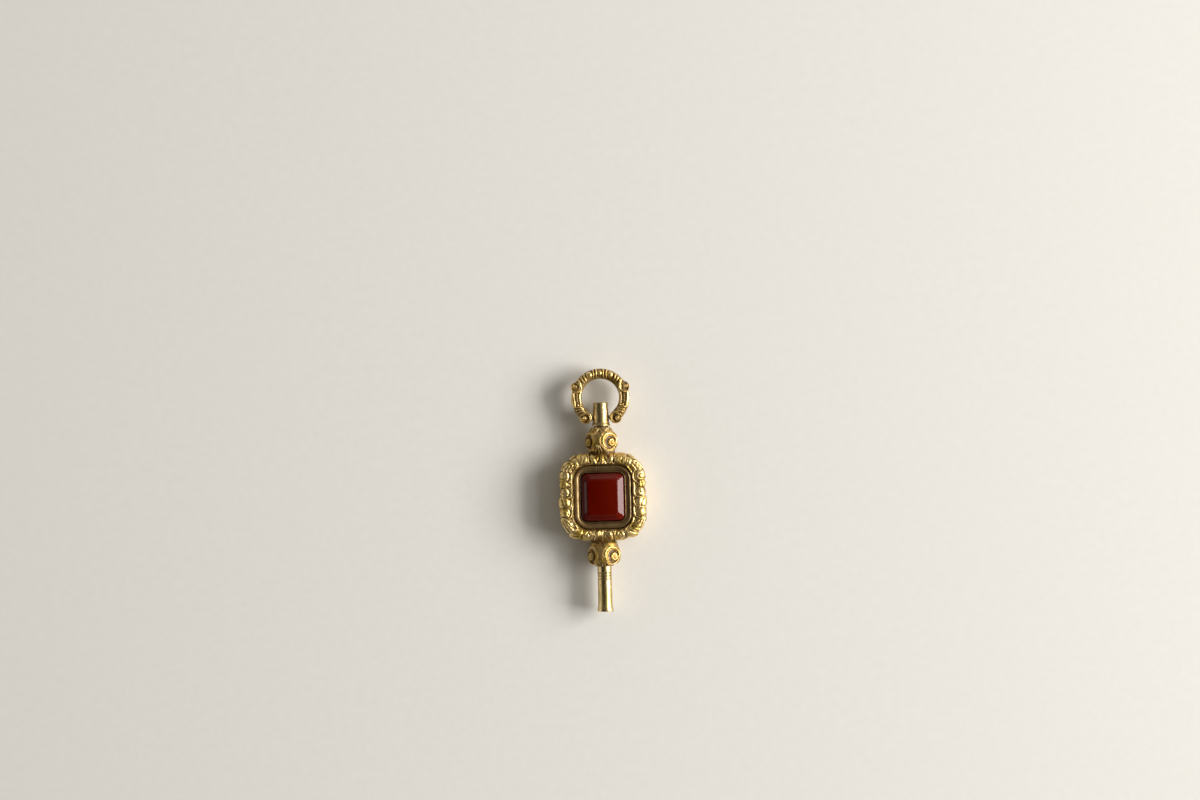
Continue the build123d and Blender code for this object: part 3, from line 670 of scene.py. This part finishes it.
def frame_front_sheet():
    """The scrolled band: a rounded section swept round it, with the forms and the stems on top."""
    rows = [
        (0, 0.00, 0.0), (0, 0.00, 0.7), (0, 0.00, 1.35), (0, 0.02, 1.8), (0, 0.07, 2.04),
        (0, 0.14, 2.12), (0, 0.24, 2.14), (0, 0.37, 2.14), (0, 0.60, 2.18), (0, 0.88, 2.24),
        (1, 1.10, 2.24), (1, 0.84, 2.15), (1, 0.56, 1.98), (1, 0.29, 1.72), (1, 0.11, 1.36),
        (1, 0.02, 0.95), (1, 0.03, 0.42), (1, 0.10, 0.10), (1, 0.16, 0.0),
    ]
    grid, from_in, from_out = ring_sheet(
        FRAME_PATH, FRAME_INNER, FRAME_OUTER, rows, FRAME_WIDTH, (0.5, 1.6), 160, 1120
    )
    n = grid_normals(grid, True, False)
    z = grid[..., 2]
    # the chaser's hand: no two forms are quite alike
    flat = grid.reshape(-1, 3) * np.array([1, 1, 0])
    stray = 0.11 * value_noise(flat, 1.1, 51).reshape(z.shape)
    x = np.abs(grid[..., 0] + stray * (np.abs(grid[..., 0]) > 0.6))
    y = grid[..., 1] + 0.11 * value_noise(flat, 1.1, 57).reshape(z.shape)
    path = rounded_loop(*FRAME_PATH, 2000)
    best, fine, dirt = np.zeros_like(x), np.zeros_like(x), np.zeros_like(x)
    for form in FORMS:
        mass, detail, dark = form_height(x, y, form, path)
        wins = mass > best
        dirt = np.where(wins, dark, dirt)
        best = np.where(wins, mass, best)
        fine = np.where(wins, detail, fine)
    # small stems fill the ground between the main forms
    stems = stroke_height(x, y, FRAME_STROKES)
    # a plain strip lies beside the setting on the upper left
    plain = arm([(-5.42, 4.1), (-5.44, 2.6), (-5.42, 1.0)], 0.24, 0.22, 0.30)
    strip = stroke_height(grid[..., 0], y, [plain], 0.35)
    chased = smoothstep(0.10, 0.34, from_in)
    wall = 0.30 + 0.70 * smoothstep(0.15, 1.5, z)
    wall = np.where(from_out < 0.5, wall, 1.0)
    cover = smoothstep(0.0, 0.5, best)
    # small overlapping leaf tips are chased into the ground; s is the angle along the path from its
    # top, the same on both sides
    count = grid.shape[0]
    s = np.arange(count)[:, None] / count * 2 * math.pi
    s = np.minimum(s, 2 * math.pi - s)
    tips = np.abs(np.cos(s * 33 + from_in * 2.4)) ** 0.8
    stems = np.maximum(stems, 0.17 * tips * smoothstep(0.05, 0.30, from_in))
    h = 0.37 * best + fine * cover + stems * (1 - 0.75 * cover)
    curled = []
    for rows_of in STEMS:
        row = []
        for share, shift, half, high in rows_of:
            k = int(round(share * (len(path[0]) // 2)))
            row.append((*(path[0][k] + path[1][k] * shift * FORM_WIDTH), half, high))
        curled.append(curve(row, 22))
    curl = stroke_height(x, y, curled, 0.6)
    h = np.maximum(h, curl)
    dirt = dirt * (curl < 0.1)
    h = np.where(strip > 0.02, np.maximum(strip, 0.0), h)
    # the rim dips between the forms, so the outline is lobed
    seam = -0.24 * (1 - cover) * (1 - smoothstep(0.25, 0.75, from_out)) * (np.abs(x) > 2.6)
    seam = seam - 0.12 * np.exp(-((x / 0.05) ** 2)) * (y < 0)
    height = (h + seam) * chased * wall
    flat = grid.reshape(-1, 3)
    low = 0.010 + 0.02 * (1 - smoothstep(0.0, 0.12, h)) * chased
    height = height + (value_noise(flat, 0.11, 9).reshape(h.shape) * low) * chased
    points, patina_and_shade = relief(grid, n, height, True, False, 0.030, 3, 0.04, 7)
    ground = (1 - smoothstep(0.03, 0.14, h)) * chased * smoothstep(0.4, 1.2, z)
    patina_and_shade = np.clip(patina_and_shade * 1.1 + 0.65 * ground, 0, 1)
    patina_and_shade = np.maximum(patina_and_shade, 0.85 * dirt * cover * smoothstep(0.8, 1.7, z))
    # the groove beside the setting and the solder line hold dirt too
    patina_and_shade = np.maximum(patina_and_shade, 0.9 * (1 - smoothstep(1.5, 2.0, z)) * (from_in < 0.3))
    patina_and_shade = np.maximum(patina_and_shade, 0.8 * (1 - smoothstep(0.03, 0.2, z)))
    points[..., 1] += FRAME_Y
    return Sheet(points, patina_and_shade, True, False, flip=True)


frame_sheet = frame_front_sheet()
piece("frame_scrollwork_front", [frame_sheet], "key_body", ["frame_front"], GILT)
piece("frame_scrollwork_back", [frame_sheet.mirrored(2)], "key_body", ["frame_back"], GILT)


# Bezels and stones


def bezel_front_sheet():
    """The plain setting, rounded outside, with a burnished lip over the stone's girdle."""
    rows = [
        (1, 0.00, 0.13), (1, 0.00, 0.9), (1, 0.00, 1.55), (1, 0.02, 1.94), (1, 0.08, 2.13), (1, 0.18, 2.225),
        (1, 0.30, 2.235), (1, 0.50, 2.205), (1, 0.70, 2.14), (0, 0.32, 2.06), (0, 0.24, 1.985),
        (0, 0.18, 1.99), (0, 0.10, 2.11), (0, 0.03, 2.10), (0, 0.00, 2.0), (0, 0.02, 1.85), (0, 0.02, 1.5),
    ]
    grid, from_in, _ = ring_sheet(
        BEZEL_PATH, BEZEL_INNER, BEZEL_OUTER, rows, BEZEL_WIDTH, (0.3, 0.6), 90, 720
    )
    n = -grid_normals(grid, True, False)
    x, y, z = grid[..., 0], grid[..., 1], grid[..., 2]
    seam = -0.05 * np.exp(-(((x - BEZEL_SEAM_X) / 0.035) ** 2)) * (y > 0)
    flat = grid.reshape(-1, 3)
    wave = value_noise(flat * np.array([1, 1, 0.2]), 1.3, 21).reshape(seam.shape) * 0.022
    height = (seam + wave) * smoothstep(1.2, 1.9, z)
    points, patina_and_shade = relief(grid, n, height, True, False, 0.006, 12, 0.04, 6)
    # dirt in the groove beside the lip, in the seam and at the foot
    groove = np.exp(-(((from_in - 0.22) / 0.055) ** 2))
    patina_and_shade = np.maximum(patina_and_shade, 0.85 * groove)
    patina_and_shade = np.maximum(patina_and_shade, np.exp(-(((x - BEZEL_SEAM_X) / 0.075) ** 4)) * (y > 0))
    patina_and_shade = np.maximum(patina_and_shade, 0.9 * (1 - smoothstep(1.55, 1.95, z)))
    points[..., 1] += FRAME_Y
    return Sheet(points, patina_and_shade, True, False)


bezel_top = bezel_front_sheet()
piece("setting_front", [bezel_top], "key_body", ["bezel_front"], ROSE)
piece("setting_back", [bezel_top.mirrored(2)], "key_body", ["bezel_back"], ROSE)


def stone_sheet():
    """The tablet: girdle, side, bevel and table as loops that shrink to the middle. Profile rows are
    a run that spaces them, height, half width and half height."""
    profile = curve(
        [
            (0.00, 0.51, 3.94, 4.34), (0.4, 1.3, 3.82, 4.22), (0.8, 2.00, 3.70, 4.12),
            (0.94, 2.26, 3.655, 4.075), (1.0, 2.36, 3.59, 4.01), (1.06, 2.41, 3.50, 3.93),
            (1.4, 2.62, 3.16, 3.61), (1.74, 2.86, 2.79, 3.28), (1.84, 2.92, 2.68, 3.18),
            (1.98, 2.975, 2.54, 3.04), (2.2, 2.992, 2.28, 2.78), (3.0, 2.999, 1.2, 1.7),
            (3.6, 2.999, 0.4, 0.9), (3.9, 2.999, 0.001, 0.501),
        ],
        120,
    )
    loops = []
    for _, z, hx, hy in profile:
        r = min(1.20 - 0.10 * (z - 0.5) - 0.22 * smoothstep(2.4, 2.95, z), hx)
        pts, _ = rounded_loop(hx, hy, r, 360)
        loops.append(np.c_[pts, np.full(len(pts), min(z, 2.999))])
    grid = np.array(loops)
    grid[..., 1] += FRAME_Y
    return Sheet(grid, np.zeros(grid.shape[:2]), False, True, flip=True)


stone_top = stone_sheet()
piece("tablet_stone_front", [stone_top], "key_body", ["stone_front"], STONE)
piece("tablet_stone_back", [stone_top.mirrored(2)], "key_body", ["stone_back"], STONE)


# Turned and chased bodies


def lathe(profile, rows, cols, height, seed, texture, depth=0.03, spread=5):
    """A body of revolution about the shank, from rows of station and radius that may turn back along
    it. Height, if any, is a function of the angle from +Z, the station and the radius."""
    c = curve([(r, y) for y, r in profile], rows)
    a = np.linspace(0, 2 * math.pi, cols, endpoint=False)
    yy, aa = np.meshgrid(c[:, 1], a, indexing="ij")
    rr = np.repeat(c[:, :1], cols, 1)
    grid = np.stack([rr * np.sin(aa), yy, rr * np.cos(aa)], -1)
    n = grid_normals(grid, False, True)
    middle = len(c) // 2
    side = np.sum(n[middle] * np.stack([np.sin(a), 0 * a, np.cos(a)], -1), -1).mean()
    if side < 0:
        n = -n
    h = np.zeros(rr.shape) if height is None else height(aa, yy, rr)
    points, patina_and_shade = relief(grid, n, h, False, True, texture, seed, depth, spread)
    return Sheet(points, patina_and_shade, False, True, flip=side > 0)


def disc_volute(radius, hand, drop, dome, rows=92, cols=320, arm_share=0.165, eye_share=0.56):
    """A snail scroll on a domed disc, facing +Z, whose wall goes down by the drop to what carries
    it. Hand 1 winds clockwise, -1 is its mirror image."""
    R = radius
    a = np.radians(np.linspace(250.0, 28.0, 60))
    t = np.linspace(0, 1, 60)
    full = np.sin(np.pi * np.clip(t * 1.02, 0, 1)) ** 0.8
    r = R * (0.78 + 0.05 * np.sin(np.pi * t))
    w = R * (0.05 + arm_share * full)
    outer = np.stack([r * np.cos(a), r * np.sin(a), w, R * (0.26 + 0 * t)], 1)
    # a finer second line runs inside the thick one
    r = r - w - R * 0.055
    w = R * (0.02 + 0.055 * full)
    fine = np.stack([r * np.cos(a), r * np.sin(a), w, R * (0.10 + 0.11 * full)], 1)
    eye = snail(eye_share * R, 0.0, 1.75, 0.27 * R)
    eye[:, 0] += 0.28 * R
    eye[:, 1] -= 0.09 * R
    # the tail runs under the scroll, round the rim and up to the arm's end
    a = np.radians(np.linspace(208.0, 388.0, 44))
    swell = np.sin(np.pi * np.linspace(0, 1, 44))
    w = R * (0.045 + 0.045 * swell)
    tail = np.stack([R * 0.915 * np.cos(a), R * 0.915 * np.sin(a), w, R * (0.14 + 0.08 * swell)], 1)
    rim = [
        (0, 0), (0.3, 0), (0.6, 0), (0.84, 0), (0.93, -0.03), (0.975, -0.09), (0.995, -0.2),
        (0.985, -0.45 * drop / R), (1.0, -drop / R),
    ]
    prof = curve([(p[0] * R, p[1] * R) for p in rim], rows)
    theta = np.linspace(0, 2 * math.pi, cols, endpoint=False)
    rr, tt = np.meshgrid(prof[:, 0], theta, indexing="ij")
    zz = np.repeat(prof[:, 1:2], cols, 1)
    x, y = rr * np.cos(tt), rr * np.sin(tt)
    h = stroke_height(x, y, [outer, fine, eye, tail], 0.75)
    face = smoothstep(-0.22 * R, -0.02 * R, zz)
    z = zz + face * (h - 0.26 * R + dome * R * (1 - (rr / R) ** 2))
    ref = h * face
    low = blur(ref, 7, False, True) - ref
    ground = (1 - smoothstep(0.0, 0.13 * R, h)) * face * (rr < 0.9 * R)
    patina_and_shade = np.clip(low / (0.06 * R), 0, 1) * 0.85 + 0.95 * ground
    patina_and_shade = np.clip(patina_and_shade + 0.5 * (1 - smoothstep(-0.9 * drop, -0.4 * drop, zz)), 0, 1)
    flat = np.stack([x, y, z], -1)
    z = z + value_noise(flat.reshape(-1, 3), 0.3, 31).reshape(z.shape) * 0.012 * face
    grid = np.stack([x * hand, y, z], -1)
    return Sheet(grid, patina_and_shade, False, True, flip=hand < 0)


def facing(degrees):
    """Rows of a matrix that turns +Z to the direction degrees round the shank from +Z."""
    a = math.radians(degrees)
    right = (math.cos(a), 0.0, -math.sin(a))
    out = (math.sin(a), 0.0, math.cos(a))
    return [right, (0.0, 1.0, 0.0), out]


def knop_strokes(kind):
    """Chased flutes on the shields, in arc length from the shield's middle and station."""
    if kind == "upper":
        return [
            # fan at the foot
            arm([(0.0, 28.9), (0.0, 28.3), (0.0, 27.75)], 0.12, 0.20, 0.16, 0.24),
            arm([(0.16, 29.1), (0.34, 28.5), (0.52, 27.95)], 0.09, 0.17, 0.10, 0.20),
            arm([(0.34, 29.3), (0.72, 28.7), (1.0, 28.15)], 0.09, 0.17, 0.10, 0.20),
            arm([(0.5, 29.6), (1.05, 29.0), (1.45, 28.5)], 0.08, 0.16, 0.10, 0.18),
            # leaf that sweeps from the collar to the scroll
            arm([(0.10, 32.0), (0.55, 31.3), (0.70, 30.3), (0.78, 29.6)], 0.20, 0.08, 0.14, 0.06, 0.10),
            arm([(0.62, 32.1), (1.10, 31.7), (1.60, 31.75)], 0.14, 0.18, 0.12, 0.16),
            arm([(1.0, 32.1), (1.6, 32.0), (2.2, 31.9)], 0.10, 0.12, 0.10, 0.14),
        ]
    return [
        arm([(0.0, 8.5), (0.0, 8.2), (0.0, 7.95)], 0.16, 0.20, 0.08, 0.14),
        arm([(0.42, 8.6), (0.6, 8.3), (0.72, 8.0)], 0.14, 0.16, 0.06, 0.14),
        arm([(1.0, 8.6), (1.15, 8.3), (1.25, 8.05)], 0.12, 0.14, 0.06, 0.12),
    ]


def knop(kind):
    """A turned body with a shield before and behind, and a scroll in each quarter between them."""
    if kind == "upper":
        profile = [
            (26.9, 1.55), (27.1, 1.98), (27.35, 2.20), (27.75, 2.30), (28.3, 2.36), (29.1, 2.46),
            (29.9, 2.47), (30.8, 2.36), (31.5, 2.10), (31.9, 1.86), (32.06, 1.74), (32.12, 1.71),
            (32.17, 1.66), (32.19, 0.6),
        ]
        centre, radius, joint, soil = 29.83, 1.66, 27.72, 0.38
    else:
        profile = [
            (7.91, 1.30), (7.93, 1.46), (8.08, 1.62), (8.5, 1.92), (9.2, 2.28), (10.0, 2.48), (10.8, 2.50),
            (11.5, 2.47), (11.95, 2.36), (12.22, 2.18), (12.38, 2.05), (12.7, 1.98), (13.05, 1.6),
        ]
        centre, radius, joint, soil = 9.92, 1.74, 12.38, 0.52
    strokes = knop_strokes(kind)

    def chased(a, y, r):
        # arc length from the middle of the nearer shield
        turn = np.radians(KNOP_TURN)
        off = (a - turn + math.pi / 2) % math.pi - math.pi / 2
        u = np.abs(off) * KNOP_ARC_RADIUS
        h = stroke_height(u, y, strokes)
        # the body is pinched between the pairs of scrolls and pressed in under each
        pinch = -0.12 * np.exp(-(((np.abs(off) - math.pi / 2) / 0.16) ** 2))
        # the shield fills up to the scrolls' rims
        shield = 0.46 * (1 - smoothstep(0.22, 0.8, np.abs(off)))
        pinch = pinch + shield * (1 - smoothstep(0.9, 2.05, np.abs(y - centre)))
        seam = -0.05 * np.exp(-((np.sin(a - math.pi / 2) / 0.02) ** 2))
        for quarter in range(4):
            out = a - math.radians(45 + 90 * quarter + KNOP_TURN)
            gap = np.hypot(r * np.sin(out), y - centre)
            pinch = pinch - 0.55 * (1 - smoothstep(0.70 * radius, 0.94 * radius, gap)) * (np.cos(out) > 0)
        return h * smoothstep(0, 0.4, r - 1.2) + pinch * smoothstep(0.3, 1.2, r - 1.2) + seam

    body = lathe(profile, 190, 420, chased, 41 if kind == "upper" else 47, 0.012, 0.05, 8)
    # the shields between the scrolls are dull, and painted shadow darkens the body where the knop meets the
    # frame and passes under its edge
    near = 1 - smoothstep(0.12, 0.55, np.abs(body.points[:, 1] - joint))
    stains = 0.30 * value_noise(body.points, 0.55, 33) + 0.18 * value_noise(body.points, 0.2, 35)
    body.patina_and_shade = np.clip(body.patina_and_shade + soil + stains + 0.55 * near, 0, 1)
    sheets = [body]
    for quarter in range(4):
        direction = 45 + 90 * quarter + KNOP_TURN
        hand = 1 if quarter % 2 == 0 else -1
        coin = disc_volute(radius, hand, KNOP_SCROLL_DROP, 0.14 if hand > 0 else 0.02)
        # painted shade: the left-hand scrolls, whose front one faces left away from the window, are darkened
        # all over
        if hand < 0:
            coin.patina_and_shade = np.clip(coin.patina_and_shade + 0.25, 0, 1)
        a = math.radians(direction)
        origin = (KNOP_SCROLL_OUT * math.sin(a), centre, KNOP_SCROLL_OUT * math.cos(a))
        sheets.append(coin.placed(facing(direction), origin))
    return sheets


upper_halves = ["upper_knop_front", "upper_knop_back"]
lower_halves = ["lower_knop_front", "lower_knop_back"]
piece("upper_knop_scrolls", knop("upper"), "key_body", upper_halves, GILT)
piece("lower_knop_scrolls", knop("lower"), "key_body", lower_halves, GILT)


# Pipe and pendant


def grooved(stations, width, depth, lip=0.02):
    """Height of turned grooves at stations, with a raised lip beside each."""

    def height(a, y, r):
        h = np.zeros_like(y)
        for s in stations:
            d = (y - s) / width
            h -= depth * np.exp(-(d**2))
            h += lip * np.exp(-((np.abs(d) - 1.9) ** 2) * 2)
        return h

    return height


PIPE_PROFILE = [
    (0.30, 1.11), (0.06, 1.13), (0.0, 1.20), (0.0, 1.30), (0.02, 1.38), (0.10, 1.42), (0.30, 1.42),
    (0.55, 1.385), (0.95, 1.315), (1.45, 1.262), (2.2, 1.248), (4.0, 1.245), (6.0, 1.245),
    (7.2, 1.246), (7.86, 1.247), (7.88, 1.20),
]
pipe = lathe(PIPE_PROFILE, 420, 160, grooved(PIPE_GROOVES, 0.055, 0.09), 61, 0.006)
piece("winding_pipe", [pipe], "key_body", ["pipe_sleeve"], GILT_PLAIN)

TUBE_PROFILE = [
    (32.43, 0.56), (32.425, 1.2), (32.43, 1.50), (32.47, 1.565), (32.56, 1.59), (32.68, 1.57),
    (32.82, 1.51), (33.0, 1.455), (33.3, 1.42), (33.9, 1.39), (34.4, 1.378), (35.0, 1.37),
    (35.28, 1.37), (35.345, 1.36), (35.365, 1.32), (35.366, 0.95),
]
CAP_PROFILE = [
    (35.372, 0.9), (35.375, 1.24), (35.39, 1.285), (35.44, 1.298), (35.9, 1.297), (36.36, 1.296),
    (36.47, 1.275), (36.535, 1.2), (36.548, 1.0), (36.549, 0.5), (36.549, 0.02),
]
tube = lathe(TUBE_PROFILE, 260, 160, None, 71, 0.008)
cap = lathe(CAP_PROFILE, 160, 160, grooved((36.05,), 0.03, 0.012, 0.0), 77, 0.006)
piece("pendant_post", [tube], "pendant", ["pendant_tube"], GILT_POST)
piece("pendant_plug", [cap], "pendant", ["pendant_cap"], GILT_POST)


# The bow

# Foot and tip of each tooth on the bow's right half: x, y from its middle
BOW_TEETH = (
    ((4.0, -0.75), (4.18, -0.68)),
    ((4.02, -0.45), (4.22, -0.36)),
    ((4.03, -0.15), (4.24, -0.04)),
    ((4.02, 0.15), (4.22, 0.28)),
    ((3.98, 0.45), (4.18, 0.60)),
)

# Forms on the bow's right half: rows of x, y from its middle
BOW_STROKES = [
    # veined leaf above the end scroll
    arm([(2.62, -2.75), (3.1, -2.35), (3.75, -2.55)], 0.12, 0.20, 0.14, 0.22),
    arm([(2.85, -2.35), (3.35, -2.0), (4.05, -2.1)], 0.12, 0.20, 0.14, 0.22),
    arm([(3.05, -1.95), (3.6, -1.62), (4.3, -1.65)], 0.12, 0.19, 0.14, 0.22),
    arm([(2.3, -3.1), (2.75, -2.95), (3.4, -3.0)], 0.12, 0.18, 0.12, 0.18),
    # bead cluster
    bead(3.55, -1.30, 0.22, 0.20),
    bead(3.95, -1.25, 0.2, 0.18),
    # smooth sheath outside, plain stem inside, and the serrated edge between them
    arm([(4.55, -1.45), (4.78, -0.7), (4.86, 0.1), (4.66, 0.85)], 0.30, 0.22, 0.20, 0.20, 0.16),
    arm([(3.55, -1.0), (3.62, -0.4), (3.62, 0.3), (3.45, 1.0), (3.2, 1.6)], 0.16, 0.14, 0.14, 0.14, 0.04),
    *(arm(tooth, 0.08, 0.10, 0.12, 0.14) for tooth in BOW_TEETH),
    # arm that hugs the side scroll
    arm([(3.62, 3.0), (3.45, 2.4), (3.42, 1.7), (3.72, 1.15), (4.3, 0.9)], 0.24, 0.16, 0.26, 0.22, 0.04),
    # small leaf and boss
    arm([(2.75, 2.75), (3.0, 3.0), (3.2, 3.4)], 0.12, 0.2, 0.16, 0.20),
    arm([(2.35, 3.05), (2.6, 3.4), (2.75, 3.9)], 0.12, 0.2, 0.16, 0.22),
    bead(1.80, 3.95, 0.56, 0.26),
    arm([(1.15, 3.55), (1.05, 4.1), (1.2, 4.7)], 0.12, 0.18, 0.14, 0.20),
    arm([(0.62, 3.6), (0.58, 4.2), (0.62, 4.8)], 0.12, 0.2, 0.14, 0.20),
    bead(0.0, 4.28, 0.42, 0.24),
]


def bow_bar():
    """The chased ring, open at the pendant, and thicker towards its two ends."""
    count, around = 860, 132
    phi = np.radians(np.linspace(*BOW_BAR_ENDS, count))
    psi = np.linspace(0, 2 * math.pi, around, endpoint=False)
    pp, ss = np.meshgrid(phi, psi, indexing="ij")
    thick = 0.90 + 0.12 * smoothstep(0.35, 0.80, np.cos(pp))[..., None]
    radial = np.stack([np.sin(pp), -np.cos(pp), 0 * pp], -1)
    n = radial * np.cos(ss)[..., None]
    n[..., 2] = np.sin(ss)
    grid = radial * BOW_BAR_RADIUS + n * thick
    flat = grid.reshape(-1, 3) * np.array([1, 1, 0])
    x = np.abs(grid[..., 0]) + 0.07 * value_noise(flat, 0.9, 63).reshape(pp.shape)
    y = grid[..., 1] + 0.07 * value_noise(flat, 0.9, 67).reshape(pp.shape)
    h = 1.3 * stroke_height(x, y, BOW_STROKES)
    h = h * (0.15 + 0.85 * smoothstep(0.05, 0.65, np.abs(grid[..., 2])))
    points, patina_and_shade = relief(grid, n, h, False, True, 0.014, 81, 0.045, 9)
    patina_and_shade = np.clip(patina_and_shade + 0.6 * (1 - smoothstep(0.0, 0.16, h)), 0, 1)
    points[..., 1] += BOW_Y
    return Sheet(points, patina_and_shade, False, True, flip=True)


def bow_scroll(x, y, radius, turn):
    """A scroll that shows on both faces of the bow, right side."""
    coin = disc_volute(radius, 1, 1.1, 0.12, 76, 220, 0.15, 0.52)
    a = math.radians(turn)
    rows = [(math.cos(a), math.sin(a), 0), (-math.sin(a), math.cos(a), 0), (0, 0, 1)]
    front = coin.placed(rows, (x, BOW_Y + y, 1.0))
    return [front, front.mirrored(2)]


bow_sheets = [bow_bar()]
for scroll in BOW_SCROLLS:
    for s in bow_scroll(*scroll):
        bow_sheets += [s, s.mirrored(0)]
piece("bow_scrollwork", bow_sheets, "bow", ["bow_front", "bow_back"], GILT)


# CAD nodes that stay: each shows its own solid, in this material

KEPT = {
    "divider_plate": ROSE,
    "stone_bed_front": CEMENT,
    "stone_bed_back": CEMENT,
    "swivel_spindle": STEEL,
    "swivel_washer": DARK,
    "pipe_core": STEEL,
    "bow_pin_left": STEEL,
    "bow_pin_right": STEEL,
}
for name, material in KEPT.items():
    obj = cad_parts[name]
    obj.data.materials.clear()
    obj.data.materials.append(material)


# Floor, light and camera, in metres

# A hundredth of a millimetre under the back stone
FLOOR_Z = -0.00301
FLOOR_HALF = 1.6
LAMP_TARGET = (0, 0.022, 0)
# The room's own light: height on the leaning sphere of directions, and brightness there
SKY = ((0.10, 0.70), (0.36, 0.09), (0.62, 0.20), (0.82, 0.21), (0.912, 0.010))
SKY_LEAN = (-12.0, 22.0, 0.0)
CAMERA_PLACE = (-0.00006, 0.03698, 0.525)
CAMERA_TURN = -1.44


def floor():
    """A plain pale sheet."""
    mesh = bpy.data.meshes.new("floor")
    s, z = FLOOR_HALF, FLOOR_Z
    mesh.from_pydata([(-s, -s, z), (s, -s, z), (s, s, z), (-s, s, z)], [], [(0, 1, 2, 3)])
    obj = bpy.data.objects.new("floor", mesh)
    bpy.context.scene.collection.objects.link(obj)
    material, tree, shader, coords = new_material("pale_floor")
    pale = blend(tree, noise(tree, coords, 700.0, 4.0), (0.84, 0.82, 0.775), (0.89, 0.872, 0.835))
    tree.links.new(pale, shader.inputs["Base Color"])
    shader.inputs["Roughness"].default_value = 0.9
    mesh.materials.append(material)


floor()


def panel(name, place, size_x, size_y, watts, colour):
    """A soft rectangular lamp that faces the key."""
    data = bpy.data.lights.new(name, "AREA")
    data.shape = "RECTANGLE"
    data.size, data.size_y = size_x, size_y
    data.energy = watts
    data.color = colour
    obj = bpy.data.objects.new(name, data)
    bpy.context.scene.collection.objects.link(obj)
    obj.location = place
    facing_key = Vector(LAMP_TARGET) - Vector(place)
    obj.rotation_euler = facing_key.to_track_quat("-Z", "Y").to_euler()


panel("window", (0.94, 0.09, 0.49), 0.76, 0.47, 12.8, (1.0, 0.985, 0.96))
panel("window_glow", (0.77, 0.07, 0.74), 0.72, 0.43, 3.2, (1.0, 0.985, 0.97))
panel("room_fill", (-0.97, -0.11, 0.234), 0.9, 0.43, 1.05, (1.0, 0.97, 0.92))

world = bpy.data.worlds.new("studio")
bpy.context.scene.world = world
world.use_nodes = True
tree = world.node_tree
tree.nodes.clear()
out = tree.nodes.new("ShaderNodeOutputWorld")
back = tree.nodes.new("ShaderNodeBackground")
tree.links.new(back.outputs[0], out.inputs[0])
coords = tree.nodes.new("ShaderNodeTexCoord")
lean = tree.nodes.new("ShaderNodeMapping")
lean.inputs["Rotation"].default_value = [math.radians(turn) for turn in SKY_LEAN]
tree.links.new(coords.outputs["Generated"], lean.inputs["Vector"])
parts = tree.nodes.new("ShaderNodeSeparateXYZ")
tree.links.new(lean.outputs[0], parts.inputs[0])
ramp = tree.nodes.new("ShaderNodeValToRGB")
ramp.color_ramp.interpolation = "EASE"
for k, (height, level) in enumerate(SKY):
    stop = ramp.color_ramp.elements[k] if k < 2 else ramp.color_ramp.elements.new(height)
    stop.position = height
    stop.color = (level, level * 0.95, level * 0.85, 1.0)
tree.links.new(parts.outputs[2], ramp.inputs[0])
tree.links.new(ramp.outputs[0], back.inputs["Color"])

scene = bpy.context.scene
scene.view_settings.view_transform = "Standard"
data = bpy.data.cameras.new("photo_camera")
data.lens = 90
data.sensor_width = 36
data.clip_start = 0.01
data.clip_end = 10
camera = bpy.data.objects.new("photo_camera", data)
scene.collection.objects.link(camera)
camera.location = CAMERA_PLACE
camera.rotation_euler = (0, 0, math.radians(CAMERA_TURN))
scene.camera = camera
